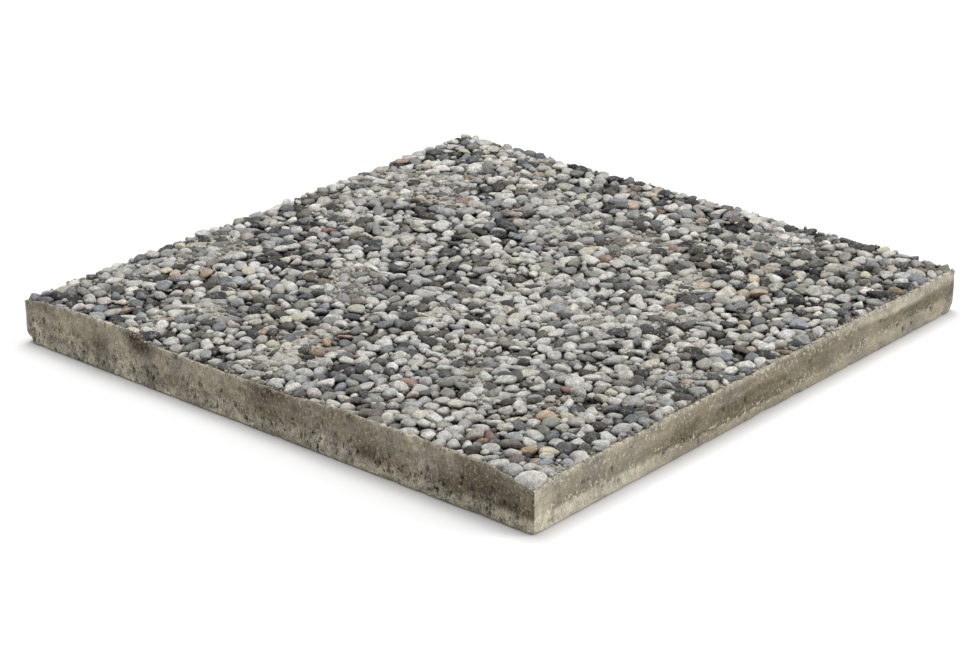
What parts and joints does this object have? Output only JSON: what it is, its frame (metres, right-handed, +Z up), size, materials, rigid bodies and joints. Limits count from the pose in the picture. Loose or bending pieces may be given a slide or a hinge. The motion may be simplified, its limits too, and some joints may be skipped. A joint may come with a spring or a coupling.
{
  "type": "concrete paving slab",
  "caption": "Square wet-cast concrete paving slab with plain sides, a flat underside and a washed pebble top face, laid flat on a bed of sand or mortar.",
  "frame": {"origin": "centre of the underside", "axes": "+Z up, towards the pebble face; +X and +Y along the two equal sides"},
  "size_m": [0.5, 0.5, 0.04],
  "materials": {
    "concrete": "cast concrete, matte, pitted sides",
    "pebble": "water-worn gravel, matte"
  },
  "bodies": {
    "root": {"paving_slab": "concrete"}
  },
  "joints": []
}
